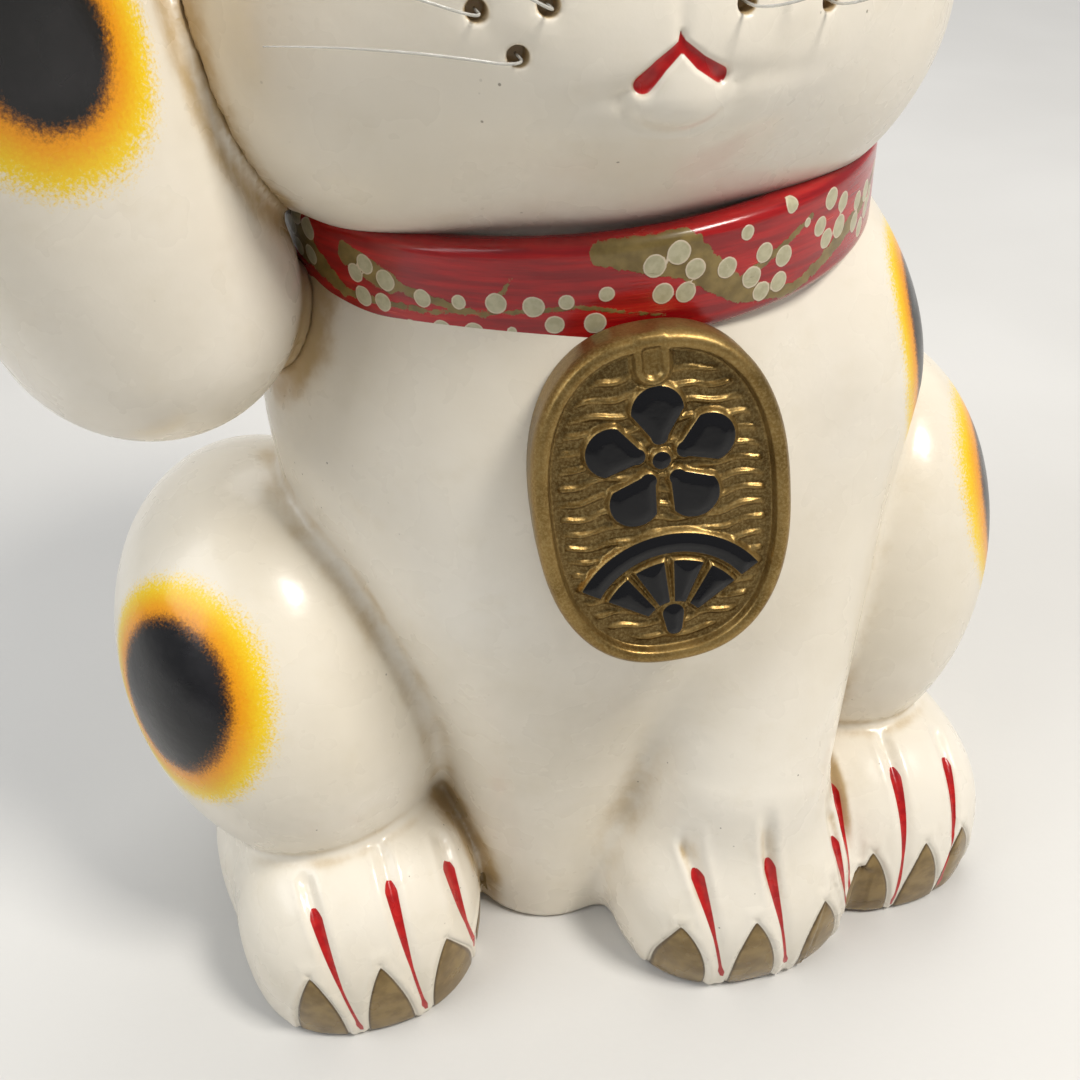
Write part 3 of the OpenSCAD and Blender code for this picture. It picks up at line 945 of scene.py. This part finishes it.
# Strokes of bark: start, end, half width at each
BARK = [
    ((-124, 14), (-104, 5), 5.5, 6.0), ((-104, 5), (-88, -4), 5.0, 2.0), ((-88, -4), (-60, -4), 1.4, 0.8),
    ((-84, 7), (-70, 2), 3.5, 3.0), ((-70, 2), (-44, -4), 1.6, 0.7), ((-60, -4), (-20, -2), 0.7, 0.6),
    ((-44, -4), (-36, 6), 0.6, 0.5), ((-20, -2), (2, -7), 0.6, 0.4),
    ((-14, 11), (6, 8), 3.0, 6.0), ((6, 8), (22, -6), 5.5, 3.0), ((22, -6), (40, -11), 3.0, 1.6),
    ((22, -3), (46, 7), 1.4, 0.8), ((40, -11), (66, -3), 1.4, 2.4), ((66, -3), (90, 4), 2.4, 1.0),
    ((100, 8), (126, 2), 5.0, 3.0), ((126, 2), (168, -6), 2.0, 0.8), ((180, 7), (206, 1), 5.0, 2.5),
    ((206, 1), (246, -6), 1.6, 0.8), ((-160, -6), (-132, 2), 0.8, 3.0), ((-206, 4), (-172, -5), 4.5, 1.0),
    ((-256, -6), (-216, 3), 0.8, 4.0), ((250, 5), (278, 0), 4.0, 1.5),
]


def painted_dots():
    """Every dot on the band as (s, v, radius)."""
    rng = np.random.default_rng(8)
    dots = []
    for s, v in BLOSSOMS:
        start = rng.uniform(0, 72)
        for k in range(5):
            a = math.radians(start + 72 * k + rng.uniform(-9, 9))
            reach = rng.uniform(5.3, 6.3)
            radius = rng.uniform(2.5, 3.2)
            dots.append((s + reach * math.cos(a), v + reach * math.sin(a) * 0.95, radius))
    for (s0, v0), (s1, v1), count in BUD_RUNS:
        for k in range(count):
            t = (k + 0.5) / count
            off = (3.8 if k % 2 else -3.2) + rng.uniform(-1.2, 1.2)
            dots.append((s0 + (s1 - s0) * t + rng.uniform(-1, 1), v0 + (v1 - v0) * t + off,
                         rng.choice([1.3, 2.0, 2.5, 2.8])))
    return dots


def band_outline(c):
    """The band's section as (radius, height): flat outside, with rounded outer and inner edges."""
    flat = c["half"] - c["round"]
    inner = c["radius"] - c["thick"] + c["inner_round"]
    outline = [(c["radius"], v) for v in np.arange(-flat, flat + 0.1, 0.75)]
    for middle, size, start in ((c["radius"] - c["round"], c["round"], 0), (inner, c["inner_round"], 90)):
        for a in range(15, 91, 15):
            angle = math.radians(start + a)
            outline.append((middle + size * math.cos(angle), c["half"] - size + size * math.sin(angle)))
    outline += [(r, -v) for r, v in outline[::-1] if v > flat]
    return np.array(outline)


def build_collar(material):
    c = COLLAR
    outline = band_outline(c)
    count = 720
    turn = np.arange(count) * 2 * math.pi / count - math.pi
    rng = np.random.default_rng(3)
    sway = sum(0.25 / k * np.sin(turn * k * 2 + rng.uniform(0, 6)) for k in (1, 2, 3))
    s = np.repeat(turn * c["radius"], len(outline))
    v = np.tile(outline[:, 1], count)
    r = np.repeat(sway, len(outline)) * 0.6 + np.tile(outline[:, 0], count)
    a = s / c["radius"]
    points = np.stack([r * np.sin(a), -r * np.cos(a), v + np.repeat(sway, len(outline)) * 0.7], 1)
    q = np.stack([s, v], 1)
    dots = np.full(len(q), -9.0)
    for ds, dv, dr in painted_dots():
        dots = np.maximum(dots, dr - np.hypot(q[:, 0] - ds, q[:, 1] - dv))
    bark = np.full(len(q), -9.0)
    for start, end, wide, narrow in BARK:
        bark = np.maximum(bark, tapered(q, start, end, wide, narrow))
    outside = np.tile(outline[:, 0], count) > c["radius"] - c["round"] + 0.5
    dots, bark = np.where(outside, dots, -9), np.where(outside, bark, -9)
    m = len(outline)
    faces = [((i % count) * m + j, ((i + 1) % count) * m + j,
              ((i + 1) % count) * m + (j + 1) % m, (i % count) * m + (j + 1) % m)
             for i in range(count) for j in range(m)]
    points = points @ tilt_matrix(c["tilt"]).T + np.array(c["at"])
    marks = {"dots": dots, "bark": bark, "height": v}
    piece = mesh_object("collar_skin", points, faces, material, marks)
    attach(piece, FIGURE)
    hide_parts("collar_band")


# -------- plaque
PLAQUE = dict(at=(1, -102, 206), tilt=(-10, -4, -5), size=(68, 95), thick=12, rim=5, field=2.6)


def sector(q, centre, inner, outer, middle, half):
    """How far inside a piece of a ring the points q of the plane are."""
    d = q - np.array(centre, float)
    r = np.hypot(d[:, 0], d[:, 1])
    a = np.degrees(np.arctan2(d[:, 1], d[:, 0])) - middle
    return np.minimum(np.minimum(r - inner, outer - r), np.radians(half - np.abs(a)) * r)


def motif(q):
    """How far inside the raised motif: a five-petalled blossom over an open fan."""
    best = np.full(len(q), -9.0)
    centre = np.array((0.3, 14.0))
    for k in range(5):
        a = math.radians(90 + 72 * k)
        way = np.array((math.cos(a), math.sin(a)))
        best = np.maximum(best, tapered(q, centre + way * 6.5, centre + way * 13.2, 2.4, 6.9))
    best = np.maximum(best, 2.6 - np.hypot(*(q - centre).T))
    pivot = (0, -36)
    for k in range(4):
        best = np.maximum(best, sector(q, pivot, 8, 21, 45 + 30 * k, 12))
    best = np.maximum(best, sector(q, pivot, 23, 29, 90, 57))
    return np.maximum(best, tapered(q, (0, -36), (0, -31.5), 2.4, 3.2))


def plaque_height(q, edge):
    """Height of the plaque's face, from how far a point of its plane is inside its outline."""
    p = PLAQUE
    top = p["thick"] / 2
    inside = edge - p["rim"]
    rim = 1.2 * np.clip(1 - ((edge - 2.6) / 2.6) ** 2, -1, 1) - 0.7
    field = -p["field"] - 0.7 * np.exp(-((inside - 0.9) / 0.8) ** 2)
    wave = np.sin(q[:, 1] * 1.42 + 0.9 * np.sin(q[:, 0] * 0.21 + q[:, 1] * 0.13)
                  + 0.5 * np.sin(q[:, 0] * 0.53))
    patch = 0.5 + 0.5 * np.sin(q[:, 0] * 0.47 + 2.1 * np.sin(q[:, 1] * 0.71))
    field += 1.15 * np.clip(wave, -0.2, 1) * smooth(inside, 1.2, 3.5) * (0.35 + 0.65 * patch)
    height = field + (rim - field) * smooth(-inside, -0.4, 0.8)
    mark = motif(q)
    raised = (p["field"] - 0.5) * smooth(mark, -1.3, 0.4) + 0.9 * smooth(mark, 0, 3.5)
    height = np.maximum(height, raised - p["field"])
    lug = tapered(q, (0, p["size"][1] / 2 - 9), (0, p["size"][1] / 2 - 1), 4.2, 4.2)
    height = np.where(lug > -1.2, np.maximum(height, -1.6 + 2.0 * smooth(lug, -1.2, 0.6)), height)
    height -= 1.3 * smooth(lug, 1.0, 2.6) * smooth(edge, 3.0, 4.5)
    return top + np.minimum(height, 0.5)


def plaque_edge(q):
    """How far inside the plaque's outline the points q of its plane are."""
    half_w, half_h = PLAQUE["size"][0] / 2, PLAQUE["size"][1] / 2
    flat = np.stack([q[:, 0], q[:, 1], np.zeros(len(q))], 1)
    return -pad(flat, (0, 0, 0), (half_w, half_h, 30), PAD_SQUARENESS)


def plaque_field(p):
    q = p[:, [0, 2]]
    edge = plaque_edge(q)
    face = (-p[:, 1] - plaque_height(q, edge)) * 0.75
    back = p[:, 1] - PLAQUE["thick"] / 2
    return keep(keep(-edge, face, 2.2), back, 1)


def build_plaque(material):
    low, high = np.array((-37.0, -8.5, -50.0)), np.array((37.0, 8.5, 50.0))
    step = 0.62
    points, quads = surface_net(sample(plaque_field, low, high, step), low, step)
    points = settle(plaque_field, points, 4)
    q = points[:, [0, 2]]
    edge = plaque_edge(q)
    height = -points[:, 1] - PLAQUE["thick"] / 2
    marks = {
        "ink": np.clip(np.minimum(motif(q) - 0.2, height + 1.2), -3, 3),
        # painted shade in the recessed field, deeper below the plaque's top
        "hollow": smooth(-height, 1.6, 3.3) * smooth(edge, 3, 6) * (points[:, 1] < 0),
    }
    points = points @ tilt_matrix(PLAQUE["tilt"]).T + np.array(PLAQUE["at"])
    piece = mesh_object("plaque_relief", points, quads.tolist(), material, marks)
    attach(piece, FIGURE)
    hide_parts("plaque")


# -------- whiskers
WHISKER_LIFTS = (0.4, 0.6, 0.24)
WHISKER_RUN = 42        # length of the stretch after the bend
WHISKER_BEND = 8        # radius of the bend
WHISKER_SAG = 3
WHISKER_R = 0.3
WHISKER_TAPER = 0.2     # what the radius loses by the tip
BEND_STEPS = 8
RUN_STEPS = 24
SIDES = 10
OUTWARD = Vector((0, -1, 0))


def whisker_path(root, way):
    """Out of its hole, round the bend, then along way with a slight sag."""
    across = (way - OUTWARD * OUTWARD.dot(way)).normalized()
    turn = OUTWARD.angle(way)
    path = [Vector(root) - OUTWARD * y for y in (4.0, 2.0, 0.0)]
    for k in range(BEND_STEPS + 1):
        a = turn * k / BEND_STEPS
        bent = math.sin(a) * OUTWARD + (1 - math.cos(a)) * across
        path.append(Vector(root) + OUTWARD + WHISKER_BEND * bent)
    end = path[-1]
    for k in range(1, RUN_STEPS + 1):
        t = k / RUN_STEPS
        path.append(end + way * WHISKER_RUN * t + Vector((0, 0, -WHISKER_SAG)) * t * t)
    return path


def tube(path, radii):
    """Points and faces of a closed round tube."""
    points, faces = [], []
    for k, (place, r) in enumerate(zip(path, radii)):
        along = (path[min(k + 1, len(path) - 1)] - path[max(k - 1, 0)]).normalized()
        u = Vector((0, 0, 1)).cross(along).normalized()
        v = along.cross(u)
        for j in range(SIDES):
            a = 2 * math.pi * j / SIDES
            points.append(tuple(place + r * (math.cos(a) * u + math.sin(a) * v)))
    for k in range(len(path) - 1):
        for j in range(SIDES):
            a, b = k * SIDES + j, k * SIDES + (j + 1) % SIDES
            faces.append((a, b, b + SIDES, a + SIDES))
    faces.append(tuple(range(SIDES))[::-1])
    faces.append(tuple(range((len(path) - 1) * SIDES, len(path) * SIDES)))
    return points, faces


def build_whiskers(material):
    taper = [WHISKER_R - WHISKER_TAPER * (k / RUN_STEPS) ** 2 for k in range(1, RUN_STEPS + 1)]
    for side, roots in WHISKER_ROOTS.items():
        sign = -1 if side == "right" else 1
        for i, root in enumerate(roots):
            way = Vector((sign, -0.05, WHISKER_LIFTS[i])).normalized()
            path = whisker_path(root, way)
            radii = [WHISKER_R] * (len(path) - RUN_STEPS) + taper
            points, faces = tube(path, radii)
            piece = mesh_object(f"bristle_{side}_{i + 1}", points, faces, material)
            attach(piece, FIGURE)
            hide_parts(f"whisker_{side}_{i + 1}")


# -------- camera, light, floor
CAMERA = dict(place=(-0.076, -0.322, 0.371), azimuth=-11.4, elevation=37.3, roll=-2.7, lens=36.03)
BACKGROUND_COLOR, BACKGROUND_STRENGTH = (0.95, 0.96, 1.0, 1), 0.3
FLOOR_SIZE, FLOOR_DROP = 8, 0.0002


def camera():
    """The view of the figure from in front, above and a little to its right, close in."""
    data = bpy.data.cameras.new("camera")
    data.sensor_width = 36
    data.lens = CAMERA["lens"]
    data.clip_start = 0.01
    obj = bpy.data.objects.new("camera", data)
    bpy.context.scene.collection.objects.link(obj)
    bpy.context.scene.camera = obj
    azimuth, elevation, roll = (math.radians(CAMERA[k]) for k in ("azimuth", "elevation", "roll"))
    back = Vector((math.sin(azimuth) * math.cos(elevation), -math.cos(azimuth) * math.cos(elevation),
                   math.sin(elevation)))
    right = Vector((0, 0, 1)).cross(back).normalized()
    up = back.cross(right)
    tilted_right = right * math.cos(roll) + up * math.sin(roll)
    tilted_up = up * math.cos(roll) - right * math.sin(roll)
    matrix = obj.matrix_world.to_3x3()
    matrix.col[0], matrix.col[1], matrix.col[2] = tilted_right, tilted_up, back
    obj.matrix_world = matrix.to_4x4()
    obj.location = Vector(CAMERA["place"])


def area_light(name, place, target, size, power, color):
    data = bpy.data.lights.new(name, "AREA")
    data.shape = "RECTANGLE"
    data.size, data.size_y = size
    data.energy = power
    data.color = color
    obj = bpy.data.objects.new(name, data)
    obj.location = place
    obj.rotation_euler = (Vector(target) - Vector(place)).to_track_quat("-Z", "Y").to_euler()
    bpy.context.scene.collection.objects.link(obj)


def stage():
    """Floor, surrounding light and three lamps."""
    s = Shader("floor")
    shade = s.mix(s.fade(s.noise(3, 3), 0.3, 0.7), (0.60, 0.59, 0.565), (0.64, 0.63, 0.605))
    s.finish(shade, 0.6, s.bump(s.noise(260, 3), 0.0003, 0.4))
    bpy.ops.mesh.primitive_plane_add(size=FLOOR_SIZE, location=(0, 0, -FLOOR_DROP))
    floor = bpy.context.object
    floor.name = "floor"
    floor.data.materials.append(s.material)
    bpy.context.scene.view_settings.view_transform = "Standard"
    world = bpy.data.worlds.new("world")
    bpy.context.scene.world = world
    world.use_nodes = True
    background = world.node_tree.nodes["Background"]
    background.inputs["Color"].default_value = BACKGROUND_COLOR
    background.inputs["Strength"].default_value = BACKGROUND_STRENGTH
    area_light("key", (0.7, -0.6, 1.5), (0, 0, 0.2), (0.4, 0.4), 23, (1, 0.96, 0.9))
    area_light("back", (0.6, 1.7, 1.9), (0.4, 1.5, 0), (1.8, 1.8), 30, (1, 0.99, 0.97))
    area_light("window", (-1.2, -0.2, 1.2), (0, 0, 0.2), (1.0, 1.2), 12, (0.94, 0.97, 1))


camera()
stage()
build_castings(ivory_material())
build_collar(red_enamel())
build_plaque(gilt_paint())
build_whiskers(bristle())
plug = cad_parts["base_plug"]
plug.data.materials.clear()
plug.data.materials.append(plain_material("plug_rubber", (0.06, 0.06, 0.06), 0.7))
